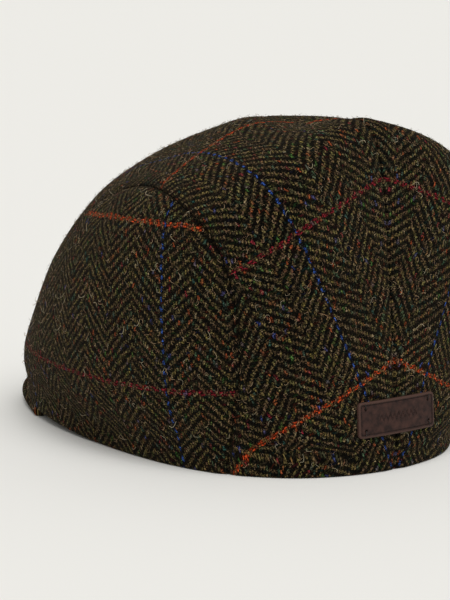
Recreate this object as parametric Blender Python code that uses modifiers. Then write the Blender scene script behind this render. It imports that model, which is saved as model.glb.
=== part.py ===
"""A flat cap of herringbone tweed, as it lies on a table.

The crown is sewn from four cloth panels: a left and a right one that meet in a seam over the top, and
one at each side under an arched seam. A stiff peak sits under the front of the crown, and a small
leather label lies over the hem of the back seam.

Metres, +Z up. The wearer's left is +X, the back of the cap +Y, and the peak points to -Y. The table is
at Z = 0. A place on the crown is given by its turn, the angle round the head opening from the back
seam, and its level, which counts up from the hem: 0 hem, 1 belly, 2 shoulder, 3 rim, 4 middle of the top.
"""

import math
from collections import namedtuple

import bmesh
import bpy
from mathutils import Vector

# Plan of the hem, from the middle of the head opening
BACK_REACH = 0.100
FRONT_REACH = 0.120
SIDE_REACH = 0.077

# Heights and cloth
CROWN_HEIGHT = 0.133
HEM_FOLD = 0.006
HEM_LIFT = 0.010
CLOTH = 0.002
SEAM_GAP = 0.0005

# Peak, measured out and in from the front hem
PEAK_SHOW = 0.030
PEAK_TUCK = 0.014
PEAK_THICKNESS = 0.0040
PEAK_ARCH = 0.005
PEAK_EDGE = 0.0012
PEAK_CLEARANCE = 0.0004
PEAK_SPREAD = math.radians(54)

# Leather label on the back seam
LABEL_WIDTH = 0.0395
LABEL_HEIGHT = 0.0143
LABEL_THICKNESS = 0.0014
LABEL_RISE = 0.0222
LABEL_CORNER = 0.002
LABEL_CLEARANCE = 0.0004
STITCH_HOLE = 0.0012
STITCH_INSET = 0.0025

# The crown's outer face. A reach is a share of the hem's plan at that turn before the hem's own share,
# and a height is a share of CROWN_HEIGHT. The rows are even steps of turn, from the back to the front.
Section = namedtuple("Section", "hem_out belly_out belly_up shoulder_out shoulder_up rim_out rim_up")
SECTIONS = (
    Section(1.00, 1.00, 0.16, 0.87, 0.97, 0.47, 1.01),
    Section(1.02, 1.09, 0.27, 1.11, 0.82, 0.64, 1.00),
    Section(0.92, 1.09, 0.29, 1.00, 0.69, 0.62, 0.88),
    Section(1.02, 1.03, 0.24, 0.86, 0.53, 0.57, 0.81),
    Section(0.86, 1.00, 0.18, 0.90, 0.46, 0.58, 0.79),
)
TOP_LEVEL = 4
LIFT_POWER = 1.5

# The arched seam over a side panel, from the back hem up and round to the front hem
SeamPoint = namedtuple("SeamPoint", "turn level")
SIDE_SEAM = (
    SeamPoint(49, 0.00), SeamPoint(47, 0.80), SeamPoint(46, 1.30), SeamPoint(50, 1.70),
    SeamPoint(59, 2.05), SeamPoint(68, 2.32), SeamPoint(78, 2.50), SeamPoint(90, 2.54),
    SeamPoint(101, 2.39), SeamPoint(112, 2.12), SeamPoint(121, 1.74), SeamPoint(128, 1.26),
    SeamPoint(134, 0.70), SeamPoint(139, 0.00),
)

# How finely the panels are cut
SEAM_STEPS = 36
SIDE_STEPS = 11
TOP_COLUMNS = 9
SEAM_STRIP = 0.03
PEAK_STEPS = 14
PEAK_ROWS = 5
LABEL_STEPS = (16, 6)
HOLE_SIDES = 10

# Searches that close in on a value do it in this many steps
CLOSING_STEPS = 20
MOST_CLIMB = 0.2
SMALL_STEP = 0.01

TWEED = (0.036, 0.031, 0.020, 1.0)
TWEED_SIDE = (0.032, 0.028, 0.018, 1.0)
LEATHER = (0.075, 0.038, 0.028, 1.0)


def spline(before, start, end, after, part):
    """Smooth value between start and end, for numbers and vectors alike."""
    bend = 2 * before - 5 * start + 4 * end - after
    turn_in = 3 * start - before - 3 * end + after
    return 0.5 * (2 * start + (end - before) * part + bend * part ** 2 + turn_in * part ** 3)


def section_value(column, turn):
    """One column of SECTIONS at any turn. The right half of the crown repeats the left."""
    step = math.pi / (len(SECTIONS) - 1)
    round_steps = 2 * (len(SECTIONS) - 1)
    place = (turn / step) % round_steps
    first = math.floor(place)

    def row(index):
        index %= round_steps
        return getattr(SECTIONS[min(index, round_steps - index)], column)

    return spline(row(first - 1), row(first), row(first + 1), row(first + 2), place - first)


def plan_point(turn, share, height):
    """A point over the hem's plan, at a share of its reach and a height."""
    length = BACK_REACH if math.cos(turn) > 0 else FRONT_REACH
    return Vector((SIDE_REACH * math.sin(turn) * share, length * math.cos(turn) * share, height))


def hem_height(turn):
    """Height of the hem's lower edge, which the peak lifts off the table towards the front."""
    return HEM_LIFT * max(0.0, -math.cos(turn)) ** LIFT_POWER


def crown_point(turn, level):
    """A point of the crown's outer face. A level under 0 is the lower edge of the turned hem."""
    hem = plan_point(turn, section_value("hem_out", turn), hem_height(turn) + HEM_FOLD)
    if level < 0:
        return hem - Vector((0, 0, HEM_FOLD))
    rise = [hem]
    for name in ("belly", "shoulder", "rim"):
        share = section_value(name + "_out", turn)
        rise.append(plan_point(turn, share, section_value(name + "_up", turn) * CROWN_HEIGHT))
    beyond = turn + math.pi
    far_rim = plan_point(beyond, section_value("rim_out", beyond), section_value("rim_up", beyond) * CROWN_HEIGHT)
    rise += [Vector((0, 0, CROWN_HEIGHT)), far_rim]
    rise.insert(0, 2 * rise[0] - rise[1])
    first = min(math.floor(level), TOP_LEVEL - 1)
    return spline(*rise[first:first + 4], level - first)


def to_disc(turn, level):
    """The crown laid flat as a disc: the top at its middle, the hem round its edge."""
    out = 1 - level / TOP_LEVEL
    return Vector((out * math.sin(turn), out * math.cos(turn)))


def from_disc(place):
    """The point of the crown over a place on the disc."""
    return crown_point(math.atan2(place.x, place.y), TOP_LEVEL * max(0.0, 1 - place.length))


def even_steps(route, count):
    """Places along a route on the disc that lie evenly spaced on the crown itself."""
    fine = [route(step / (8 * count)) for step in range(8 * count + 1)]
    solid = [from_disc(place) for place in fine]
    run = [0.0]
    for here, there in zip(solid, solid[1:]):
        run.append(run[-1] + (there - here).length)
    places = []
    index = 0
    for step in range(count + 1):
        wanted = run[-1] * step / count
        while index < len(run) - 2 and run[index + 1] < wanted:
            index += 1
        part = (wanted - run[index]) / (run[index + 1] - run[index])
        places.append(fine[index].lerp(fine[index + 1], min(part, 1.0)))
    return places


def side_seam_route(share):
    """The arched seam on the disc, from 0 at the back hem to 1 at the front hem."""
    last = len(SIDE_SEAM) - 1
    first = min(math.floor(share * last), last - 1)
    rows = [to_disc(math.radians(point.turn), point.level) for point in SIDE_SEAM]
    before = rows[first - 1] if first > 0 else 2 * rows[0] - rows[1]
    after = rows[first + 2] if first + 2 <= last else 2 * rows[-1] - rows[-2]
    return spline(before, rows[first], rows[first + 1], after, share * last - first)


def hem_route(start, end, shares):
    """Places along the edge of the disc, at shares of the way between two places on it."""
    first = math.atan2(start.x, start.y)
    turn_by = math.atan2(end.x, end.y) - first
    return [to_disc(first + turn_by * share, 0) for share in shares]


def fill_between(bottom, top, left, right, shares):
    """Places inside four edges that meet at their ends, as rows from the bottom edge to the top one."""
    rows = []
    for row in range(len(left)):
        up = row / (len(left) - 1)
        line = []
        for column, along in enumerate(shares):
            between = bottom[column].lerp(top[column], up) + left[row].lerp(right[row], along)
            corners = bottom[0].lerp(bottom[-1], along).lerp(top[0].lerp(top[-1], along), up)
            line.append(between - corners)
        rows.append(line)
    return rows


def new_collection(name):
    collection = bpy.data.collections.new(name)
    bpy.context.scene.collection.children.link(collection)
    return collection


def plain_material(name, colour, roughness):
    material = bpy.data.materials.new(name)
    material.use_nodes = True
    shader = material.node_tree.nodes["Principled BSDF"]
    shader.inputs["Base Color"].default_value = colour
    shader.inputs["Roughness"].default_value = roughness
    shader.inputs["Metallic"].default_value = 0.0
    return material


def bent_sheet(name, points, material, middle):
    """A flat grid bent so that each of its corners lies on a point, with its face away from the middle."""
    rows = len(points) - 1
    columns = len(points[0]) - 1
    mesh = bpy.data.meshes.new(name)
    sheet = bmesh.new()
    bmesh.ops.create_grid(sheet, x_segments=columns, y_segments=rows, size=1)
    for corner in sheet.verts:
        column = round((corner.co.x + 1) / 2 * columns)
        row = round((corner.co.y + 1) / 2 * rows)
        corner.co = points[row][column]
    sheet.normal_update()
    outward = sum((face.normal.dot(face.calc_center_median() - middle) for face in sheet.faces))
    if outward < 0:
        bmesh.ops.reverse_faces(sheet, faces=sheet.faces)
    sheet.to_mesh(mesh)
    sheet.free()
    mesh.shade_smooth()
    mesh.materials.append(material)
    piece = bpy.data.objects.new(name, mesh)
    cap_parts.objects.link(piece)
    piece.parent = cap_root
    return piece


def add_wall(piece, thickness, offset):
    wall = piece.modifiers.new("wall", "SOLIDIFY")
    wall.thickness = thickness
    wall.offset = offset
    wall.use_even_offset = True
    return wall


def draw_in(points, edges):
    """Moves the edges that are sewn half a seam gap in, square to the seam, towards their neighbours."""
    for edge, neighbour in edges:
        sewn = [points[row][column].copy() for row, column in edge]
        for index, (row, column) in enumerate(edge):
            next_row, next_column = neighbour[index]
            along = sewn[min(index + 1, len(edge) - 1)] - sewn[max(index - 1, 0)]
            inward = points[next_row][next_column] - sewn[index]
            inward -= along * inward.dot(along) / along.length_squared
            points[row][column] = points[row][column] + inward.normalized() * SEAM_GAP / 2


def add_crown_cloth(name, points, side, colour):
    """A crown panel as a cloth wall, on the wearer's left for side 1 and on the right for side -1."""
    placed = [[Vector((side * point.x, point.y, point.z)) for point in row] for row in points]
    material = plain_material(name + "_tweed", colour, 0.95)
    panel = bent_sheet(name, placed, material, Vector((0, 0, CROWN_HEIGHT / 3)))
    add_wall(panel, CLOTH, -1)
    return panel


def hem_below(place):
    """Lower edge of the hem under a place on the edge of the disc."""
    return crown_point(math.atan2(place.x, place.y), -1)


def top_panel(name, side):
    """Half of the top: from the back hem over the crown to the front hem, beside the middle seam."""
    middle_seam = even_steps(lambda share: Vector((0, 1 - 2 * share)), SEAM_STEPS)
    side_seam = even_steps(side_seam_route, SEAM_STEPS)
    shares = [0.0] + [SEAM_STRIP + (1 - SEAM_STRIP) * step / TOP_COLUMNS for step in range(TOP_COLUMNS + 1)]
    back_hem = hem_route(middle_seam[0], side_seam[0], shares)
    front_hem = hem_route(to_disc(math.pi, 0), side_seam[-1], shares)
    rows = fill_between(back_hem, front_hem, middle_seam, side_seam, shares)
    points = [[from_disc(place) for place in row] for row in rows]
    points.insert(0, [hem_below(place) for place in back_hem])
    points.append([hem_below(place) for place in front_hem])
    inner = [(row, 0) for row in range(len(points))]
    outer = [(row, len(shares) - 1) for row in range(len(points))]
    draw_in(points, (
        (inner, [(row, 1) for row, _ in inner]),
        (outer, [(row, column - 1) for row, column in outer]),
    ))
    return add_crown_cloth(name, points, side, TWEED)


def side_panel(name, side):
    """The panel over the ear, from the hem up to the arched seam."""
    seam = even_steps(side_seam_route, SEAM_STEPS)
    back_edge = seam[:SIDE_STEPS + 1]
    top_edge = seam[SIDE_STEPS:len(seam) - SIDE_STEPS]
    front_edge = seam[:len(seam) - SIDE_STEPS - 2:-1]
    shares = [step / (len(top_edge) - 1) for step in range(len(top_edge))]
    hem = hem_route(seam[0], seam[-1], shares)
    rows = fill_between(hem, top_edge, back_edge, front_edge, shares)
    points = [[from_disc(place) for place in row] for row in rows]
    points.insert(0, [hem_below(place) for place in hem])
    last_row = len(points) - 1
    last_column = len(hem) - 1
    back = [(row, 0) for row in range(last_row + 1)]
    front = [(row, last_column) for row in range(last_row + 1)]
    top = [(last_row, column) for column in range(last_column + 1)]
    draw_in(points, (
        (back, [(row, 1) for row, _ in back]),
        (front, [(row, column - 1) for row, column in front]),
        (top, [(row - 1, column) for row, column in top]),
    ))
    return add_crown_cloth(name, points, side, TWEED_SIDE)


def peak_ends():
    """Turn from the front at which the peak starts: where the hem has just risen by its thickness."""
    return math.acos(min(1.0, ((PEAK_THICKNESS + PEAK_CLEARANCE) / HEM_LIFT) ** (1 / LIFT_POWER)))


def peak_show(turn):
    """How far the peak's rim stands out from the hem. It is full at the front and dies away to each side."""
    part = max(0.0, 1 - (math.pi - turn) / PEAK_SPREAD)
    return PEAK_SHOW * part * part * (3 - 2 * part)


def peak_point(along, across):
    """A point of the peak's middle layer. Along is 0 at the front and 1 at an end, across 0 to 1 outwards."""
    width = math.cos(along * math.pi / 2)
    turn = math.pi - peak_ends() * math.sin(along * math.pi / 2)
    inner = -2 * CLOTH - PEAK_TUCK * width
    rim = peak_show(turn)
    run = inner + across * (rim - inner)
    rim_height = PEAK_THICKNESS / 2 + PEAK_ARCH * width ** 2
    slope = 0.0
    for _ in range(CLOSING_STEPS):
        under_hem = hem_height(turn) - PEAK_CLEARANCE - PEAK_THICKNESS / 2 * math.hypot(1, slope)
        slope = max(0.0, under_hem - rim_height) / (CLOTH + rim)
    hem = plan_point(turn, section_value("hem_out", turn), 0)
    point = hem + hem.normalized() * run
    point.z = rim_height + slope * (rim - run)
    return point


def peak(name):
    """The stiff crescent under the front hem, covered in the same tweed. Its rim rests on the table."""
    near_end = 0.97
    points = []
    for row in range(PEAK_ROWS + 1):
        line = [peak_point(near_end * step / PEAK_STEPS, row / PEAK_ROWS) for step in range(PEAK_STEPS + 1)]
        points.append(line)
    material = plain_material(name + "_tweed", TWEED, 0.95)
    piece = bent_sheet(name, points, material, Vector((0, 0, -FRONT_REACH)))
    other_half = piece.modifiers.new("other_half", "MIRROR")
    other_half.use_axis = (True, False, False)
    other_half.merge_threshold = 0.0001
    add_wall(piece, PEAK_THICKNESS, 0)
    edge = piece.modifiers.new("edge", "BEVEL")
    edge.width = PEAK_EDGE
    edge.segments = 2
    edge.limit_method = "ANGLE"
    edge.angle_limit = math.radians(40)
    return piece


def crown_near(across, height):
    """Turn and level of the crown's back at a distance from the seam and a height, closed in on in steps."""
    turn = 0.0
    level = 0.5
    for _ in range(CLOSING_STEPS):
        point = crown_point(turn, level)
        slope = (crown_point(turn, level + SMALL_STEP).z - point.z) / SMALL_STEP
        turn += (across - point.x) / SIDE_REACH
        climb = (height - point.z) / slope
        level = max(0.0, level + max(-MOST_CLIMB, min(MOST_CLIMB, climb)))
    return turn, level


def label_point(across, up, proud):
    """A point over the crown's back, lifted off its face by a distance."""
    turn, level = crown_near(across, up)
    here = crown_point(turn, level)
    round_head = crown_point(turn + SMALL_STEP, level) - here
    upward = crown_point(turn, level + SMALL_STEP) - here
    outward = round_head.cross(upward).normalized()
    if outward.y < 0:
        outward.negate()
    return here + outward * proud


def stitch_cutter(name, across, up):
    """A round punch through the label, square to its face."""
    inner = label_point(across, up, -LABEL_THICKNESS)
    outer = label_point(across, up, 3 * LABEL_THICKNESS)
    bpy.ops.mesh.primitive_cylinder_add(
        vertices=HOLE_SIDES, radius=STITCH_HOLE / 2, depth=(outer - inner).length)
    punch = bpy.context.object
    punch.name = name
    punch.location = (inner + outer) / 2
    punch.rotation_euler = (outer - inner).to_track_quat("Z", "Y").to_euler()
    punch.hide_render = True
    punch.display_type = "WIRE"
    for collection in list(punch.users_collection):
        collection.objects.unlink(punch)
    cutters.objects.link(punch)
    punch.parent = cap_root
    return punch


def back_label(name):
    """The leather label, bent round the back seam, with a punched stitch hole at each corner."""
    columns, rows = LABEL_STEPS
    corner_cut = LABEL_CORNER * (1 - math.cos(math.pi / 4))
    points = []
    for row in range(rows + 1):
        line = []
        for column in range(columns + 1):
            across = (column / columns - 0.5) * LABEL_WIDTH
            up = (row / rows - 0.5) * LABEL_HEIGHT
            if column in (0, columns) and row in (0, rows):
                across -= math.copysign(corner_cut, across)
                up -= math.copysign(corner_cut, up)
            line.append(label_point(across, LABEL_RISE + up, LABEL_CLEARANCE))
        points.append(line)
    material = plain_material(name + "_leather", LEATHER, 0.6)
    piece = bent_sheet(name, points, material, Vector((0, 0, LABEL_RISE)))
    add_wall(piece, LABEL_THICKNESS, 1)
    number = 0
    for side in (-1, 1):
        for end in (-1, 1):
            number += 1
            across = side * (LABEL_WIDTH / 2 - STITCH_INSET)
            up = LABEL_RISE + end * (LABEL_HEIGHT / 2 - STITCH_INSET)
            hole = piece.modifiers.new("stitch_hole_%d" % number, "BOOLEAN")
            hole.operation = "DIFFERENCE"
            hole.object = stitch_cutter("stitch_punch_%d" % number, across, up)
    return piece


def stand_over_origin():
    """Moves the cap along its length until the middle of its outline is over the origin."""
    bpy.context.view_layer.update()
    graph = bpy.context.evaluated_depsgraph_get()
    ends = []
    for piece in cap_parts.objects:
        if piece.type == "MESH":
            solid = piece.evaluated_get(graph)
            ends += [(piece.matrix_world @ corner.co).y for corner in solid.data.vertices]
    cap_root.location.y = -(min(ends) + max(ends)) / 2
    bpy.context.view_layer.update()


for old in list(bpy.data.objects):
    bpy.data.objects.remove(old, do_unlink=True)

cap_parts = new_collection("flat_cap")
cutters = new_collection("cutters")
cap_root = bpy.data.objects.new("cap_root", None)
cap_parts.objects.link(cap_root)

top_panel("top_panel_left", 1)
top_panel("top_panel_right", -1)
side_panel("side_panel_left", 1)
side_panel("side_panel_right", -1)
peak("peak")
back_label("back_label")
stand_over_origin()
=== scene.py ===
"""The herringbone tweed flat cap, dressed and lit as in its photograph.

The sections follow the cap as it is put together: the camera that sees it, the two halves of the top,
the side panels, the peak, the leather label, its threads, the loose hairs of the wool, and the table
with its light.
"""

import math
from collections import namedtuple

import bmesh
import bpy
import numpy as np
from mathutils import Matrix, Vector, noise


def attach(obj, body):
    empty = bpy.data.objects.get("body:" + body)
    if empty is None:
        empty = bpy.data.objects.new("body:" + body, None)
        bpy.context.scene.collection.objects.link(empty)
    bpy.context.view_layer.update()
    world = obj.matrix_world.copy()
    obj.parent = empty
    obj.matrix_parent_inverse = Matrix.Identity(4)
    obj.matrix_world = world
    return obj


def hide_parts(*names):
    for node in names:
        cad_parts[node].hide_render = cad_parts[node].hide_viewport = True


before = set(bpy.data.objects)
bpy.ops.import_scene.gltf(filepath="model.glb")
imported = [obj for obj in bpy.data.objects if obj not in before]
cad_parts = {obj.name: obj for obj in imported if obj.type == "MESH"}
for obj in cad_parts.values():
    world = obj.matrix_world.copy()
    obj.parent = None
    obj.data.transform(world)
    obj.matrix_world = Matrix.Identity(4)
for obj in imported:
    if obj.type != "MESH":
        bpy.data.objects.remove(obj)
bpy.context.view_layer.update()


# The camera stands behind the cap, round to the wearer's left and a little above it, so the back seam
# with its label is to the right and the side panel over the left ear faces it.
HEAD_MIDDLE = Vector((0.0, 0.0154, 0.0))
CAMERA_TURN = math.radians(37.25)
CAMERA_RISE = math.radians(9.46)
CAMERA_FAR = 0.900
CAMERA_ASIDE = -0.0077
CAMERA_LIFT = 0.0546
CAMERA_LENS = 123.2
SENSOR = 36.0
CAMERA_NEAREST = 0.01
CAMERA_FARTHEST = 100.0


def set_down(name, data):
    """A new object in the scene from a mesh, a camera or a lamp."""
    thing = bpy.data.objects.new(name, data)
    bpy.context.scene.collection.objects.link(thing)
    return thing


def stand_camera():
    backward = Vector((
        math.sin(CAMERA_TURN) * math.cos(CAMERA_RISE),
        math.cos(CAMERA_TURN) * math.cos(CAMERA_RISE),
        math.sin(CAMERA_RISE),
    ))
    facing = backward.to_track_quat("Z", "Y")
    aside = facing @ Vector((1, 0, 0))
    upward = facing @ Vector((0, 1, 0))
    lens = bpy.data.cameras.new("photo_camera")
    lens.lens = CAMERA_LENS
    lens.sensor_width = SENSOR
    lens.clip_start = CAMERA_NEAREST
    lens.clip_end = CAMERA_FARTHEST
    camera = set_down("photo_camera", lens)
    camera.location = HEAD_MIDDLE + aside * CAMERA_ASIDE + upward * CAMERA_LIFT + backward * CAMERA_FAR
    camera.rotation_euler = facing.to_euler()
    bpy.context.scene.camera = camera


stand_camera()


# The top is sewn from two mirrored halves of wool tweed, each cut in one from the back hem over the
# crown to the front hem. They are seamed down the middle, pressed open, and the hem is turned under.
BACK_REACH = 0.100
FRONT_REACH = 0.120
SIDE_REACH = 0.077
CROWN_HEIGHT = 0.133
INSIDE = (0, HEAD_MIDDLE.y, CROWN_HEIGHT / 3)
HEM_FOLD = 0.006
HEM_LIFT = 0.010
LIFT_POWER = 1.5
CLOTH = 0.002
Section = namedtuple("Section", "hem_out belly_out belly_up shoulder_out shoulder_up rim_out rim_up")
SECTIONS = (
    Section(1.00, 1.00, 0.16, 0.87, 0.97, 0.47, 1.01),
    Section(1.02, 1.09, 0.27, 1.11, 0.82, 0.64, 1.00),
    Section(0.92, 1.09, 0.29, 1.00, 0.69, 0.62, 0.88),
    Section(1.02, 1.03, 0.24, 0.86, 0.53, 0.57, 0.81),
    Section(0.86, 1.00, 0.18, 0.90, 0.46, 0.58, 0.79),
)
TOP_LEVEL = 4
SeamPoint = namedtuple("SeamPoint", "turn level")
SIDE_SEAM = (
    SeamPoint(49, 0.00), SeamPoint(47, 0.80), SeamPoint(46, 1.30), SeamPoint(50, 1.70),
    SeamPoint(59, 2.05), SeamPoint(68, 2.32), SeamPoint(78, 2.50), SeamPoint(90, 2.54),
    SeamPoint(101, 2.39), SeamPoint(112, 2.12), SeamPoint(121, 1.74), SeamPoint(128, 1.26),
    SeamPoint(134, 0.70), SeamPoint(139, 0.00),
)
SEAM_ROLL = 0.0009
SEAM_DIP = 0.0007
SEAM_SOFT = 0.0026
SEAM_PUFF = 0.0003
DENT = 0.0007
DENT_SIZE = 0.045
TOP_ROWS = 170
TOP_COLUMNS = 74
HEM_ROWS = (1.0, 0.98, 0.94, 0.87, 0.76, 0.6, 0.4, 0.2)
DISC_STEP = 0.004
SHORTEST = 1e-12
FAR_OFF = 1e9
ROUTE_STEPS = 40
ROUTE_POINTS = 600
CROWDING = 0.9
ONE_END_CROWDING = 1.9
PATTERN_LAST = 40
FLATTENING_TURNS = 60
SEAM_BATCH = 40
FINE_DENTS = 0.4
FINE_DENT_TIMES = 2.3
SHARP_EDGE = math.radians(60)


def spline(before, start, end, after, part):
    bend = 2 * before - 5 * start + 4 * end - after
    turn_in = 3 * start - before - 3 * end + after
    return 0.5 * (2 * start + (end - before) * part + bend * part ** 2 + turn_in * part ** 3)


def section_value(column, turn):
    """One column of SECTIONS at any turn round the head, in radians from the back."""
    values = np.array([getattr(section, column) for section in SECTIONS])
    last = len(values) - 1
    place = (turn * last / math.pi) % (2 * last)
    first = np.floor(place).astype(int)

    def row(index):
        index = index % (2 * last)
        return values[np.minimum(index, 2 * last - index)]

    return spline(row(first - 1), row(first), row(first + 1), row(first + 2), place - first)


def plan_point(turn, share, height):
    """Points over the hem's plan, at a share of its reach and a height."""
    length = np.where(np.cos(turn) > 0, BACK_REACH, FRONT_REACH)
    across = SIDE_REACH * np.sin(turn) * share
    along = length * np.cos(turn) * share + HEAD_MIDDLE.y
    return np.stack(np.broadcast_arrays(across, along, height), axis=-1)


def hem_height(turn):
    return HEM_LIFT * np.maximum(0.0, -np.cos(turn)) ** LIFT_POWER


def crown_point(turn, level):
    """Points of the crown's outer face. Level 0 is the hem's fold line and 4 the middle of the top."""
    hem = plan_point(turn, section_value("hem_out", turn), hem_height(turn) + HEM_FOLD)
    rise = [hem]
    for name in ("belly", "shoulder", "rim"):
        up = section_value(name + "_up", turn) * CROWN_HEIGHT
        rise.append(plan_point(turn, section_value(name + "_out", turn), up))
    rise.append(plan_point(turn, 0.0, np.full_like(turn, CROWN_HEIGHT)))
    beyond = turn + math.pi
    beyond_up = section_value("rim_up", beyond) * CROWN_HEIGHT
    rise.append(plan_point(beyond, section_value("rim_out", beyond), beyond_up))
    rise.insert(0, 2 * rise[0] - rise[1])
    rise = np.stack(rise)
    first = np.clip(np.floor(level), 0, TOP_LEVEL - 1).astype(int)
    near = [np.take_along_axis(rise, (first + step)[None, ..., None], 0)[0] for step in range(4)]
    return spline(*near, (level - first)[..., None])


def to_disc(turn, level):
    """The crown laid flat as a disc: the top at its middle, the hem round its edge."""
    out = 1 - np.asarray(level, float) / TOP_LEVEL
    return np.stack([out * np.sin(turn), out * np.cos(turn)], axis=-1)


def from_disc(places):
    level = TOP_LEVEL * np.maximum(0.0, 1 - np.hypot(places[..., 0], places[..., 1]))
    return crown_point(np.arctan2(places[..., 0], places[..., 1]), level)


def unit(vectors):
    return vectors / np.maximum(np.linalg.norm(vectors, axis=-1, keepdims=True), SHORTEST)


def outward(places):
    """The crown's outward direction over places on the disc."""
    east = from_disc(places + (DISC_STEP, 0)) - from_disc(places - (DISC_STEP, 0))
    north = from_disc(places + (0, DISC_STEP)) - from_disc(places - (0, DISC_STEP))
    direction = unit(np.cross(east, north))
    facing = np.sum(direction * (from_disc(places) - INSIDE), axis=-1, keepdims=True)
    return direction * np.sign(facing)


def at_even_steps(route, shares):
    """Places along a dense route on the disc, at shares of its length over the crown."""
    solid = from_disc(route)
    run = np.concatenate([[0], np.cumsum(np.linalg.norm(np.diff(solid, axis=0), axis=1))])
    wanted = np.asarray(shares) * run[-1]
    return np.stack([np.interp(wanted, run, route[:, side]) for side in (0, 1)], axis=-1)


def side_seam_route():
    """The arched seam over the ear, from the back hem to the front hem."""
    rows = np.array([to_disc(math.radians(point.turn), point.level) for point in SIDE_SEAM])
    rows = np.concatenate([[2 * rows[0] - rows[1]], rows, [2 * rows[-1] - rows[-2]]])
    part = np.linspace(0, 1, ROUTE_STEPS, endpoint=False)[:, None]
    pieces = [spline(*rows[index:index + 4], part) for index in range(len(rows) - 3)]
    return np.concatenate(pieces + [rows[-2:-1]])


def middle_seam_route():
    along = np.linspace(1, -1, ROUTE_POINTS)
    return np.stack([np.zeros_like(along), along], axis=-1)


def hem_route(start, end, shares):
    """Places along the edge of the disc between two places on it."""
    first = math.atan2(start[0], start[1])
    last = math.atan2(end[0], end[1])
    if last - first > math.pi:
        last -= 2 * math.pi
    return to_disc(first + (last - first) * shares, 0.0)


def fill_between(bottom, top, left, right, along, up):
    """Places inside four edges that meet at their ends, as rows from the bottom edge to the top one."""
    along = along[None, :, None]
    up = up[:, None, None]
    between = bottom * (1 - up) + top * up + left[:, None] * (1 - along) + right[:, None] * along
    low = bottom[0] * (1 - along) + bottom[-1] * along
    high = top[0] * (1 - along) + top[-1] * along
    return between - low * (1 - up) - high * up


def crowded(count, ends):
    """Shares from 0 to 1, closer together at both ends, or at the second one only."""
    even = np.linspace(0, 1, count + 1)
    if ends == 2:
        return even - CROWDING * np.sin(2 * math.pi * even) / (2 * math.pi)
    return 1 - (1 - even) ** ONE_END_CROWDING


def top_places(along, up):
    """The left half of the top on the disc."""
    middle = at_even_steps(middle_seam_route(), up)
    side = at_even_steps(side_seam_route(), up)
    back = hem_route(middle[0], side[0], along)
    front = hem_route((0.0, -1.0), side[-1], along)
    return fill_between(back, front, middle, side, along, up)


def grid_faces(rows, columns):
    """The numbers of a grid's points, and its four-cornered faces."""
    number = np.arange(rows * columns).reshape(rows, columns)
    corners = (number[:-1, :-1], number[:-1, 1:], number[1:, 1:], number[1:, :-1])
    return number, np.stack(corners, -1).reshape(-1, 4)


def length_of(grid):
    """The length of all the lines of a grid together."""
    return sum(np.linalg.norm(np.diff(grid, axis=axis), axis=-1).sum() for axis in (0, 1))


def flatten_cut(places_of):
    """Lays a panel flat as it was cut and gives each place on it in metres of cloth, as a coarse grid."""
    count = PATTERN_LAST + 1
    shares = np.linspace(0, 1, count)
    solid = from_disc(places_of(shares, shares))
    _, faces = grid_faces(count, count)
    mesh = bpy.data.meshes.new("cutting_pattern")
    mesh.from_pydata(solid.reshape(-1, 3).tolist(), [], faces.tolist())
    mesh.uv_layers.new(name="flat")
    pattern = set_down("cutting_pattern", mesh)
    bpy.context.view_layer.objects.active = pattern
    for other in bpy.context.selected_objects:
        other.select_set(False)
    pattern.select_set(True)
    bpy.ops.object.mode_set(mode="EDIT")
    bpy.ops.mesh.select_all(action="SELECT")
    bpy.ops.uv.unwrap(method="MINIMUM_STRETCH", iterations=FLATTENING_TURNS, margin=0.0)
    bpy.ops.object.mode_set(mode="OBJECT")
    flat = np.zeros((count * count, 2))
    for loop in mesh.loops:
        flat[loop.vertex_index] = mesh.uv_layers["flat"].data[loop.index].uv
    flat = flat.reshape(count, count, 2)
    bpy.data.objects.remove(pattern)
    bpy.data.meshes.remove(mesh)
    flat = flat * length_of(solid) / length_of(flat)
    middle = PATTERN_LAST // 2
    east = flat[middle, -1] - flat[middle, 0]
    north = flat[-1, middle] - flat[0, middle]
    if east[0] * north[1] - east[1] * north[0] < 0:
        flat = flat * (-1, 1)
    return flat


def turned(laid, turn, shift):
    """Cloth places from places on the flat, turned and shifted."""
    across = laid[..., 0] * math.cos(turn) + laid[..., 1] * math.sin(turn)
    length = laid[..., 1] * math.cos(turn) - laid[..., 0] * math.sin(turn)
    return np.stack([across + shift[0], length + shift[1]], axis=-1)


def grain(flat, along, up, grain_turn, shift):
    """Cloth coordinates of a finer grid: turned so that the warp runs along the second one."""
    last = len(flat) - 1

    def between(shares):
        first = np.minimum((shares * last).astype(int), last - 1)
        return first, shares * last - first

    row, row_part = between(up)
    column, column_part = between(along)
    row_part = row_part[:, None, None]
    column_part = column_part[None, :, None]
    low = flat[row][:, column] * (1 - column_part) + flat[row][:, column + 1] * column_part
    high = flat[row + 1][:, column] * (1 - column_part) + flat[row + 1][:, column + 1] * column_part
    return turned(low * (1 - row_part) + high * row_part, grain_turn, shift)


def seam_distance(points, seam):
    """How far each point is from a seam, given as dense points along it."""
    flat = points.reshape(-1, 3)
    nearest = np.full(len(flat), FAR_OFF)
    for start in range(0, len(seam), SEAM_BATCH):
        gap = np.linalg.norm(flat[:, None] - seam[None, start:start + SEAM_BATCH], axis=-1).min(axis=1)
        nearest = np.minimum(nearest, gap)
    return nearest.reshape(points.shape[:-1])


def rolled(distance):
    """How far a sewn or folded edge rolls in, close to the edge."""
    inside = np.clip(SEAM_ROLL - distance, 0, SEAM_ROLL)
    return SEAM_ROLL - np.sqrt(SEAM_ROLL ** 2 - inside ** 2)


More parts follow.
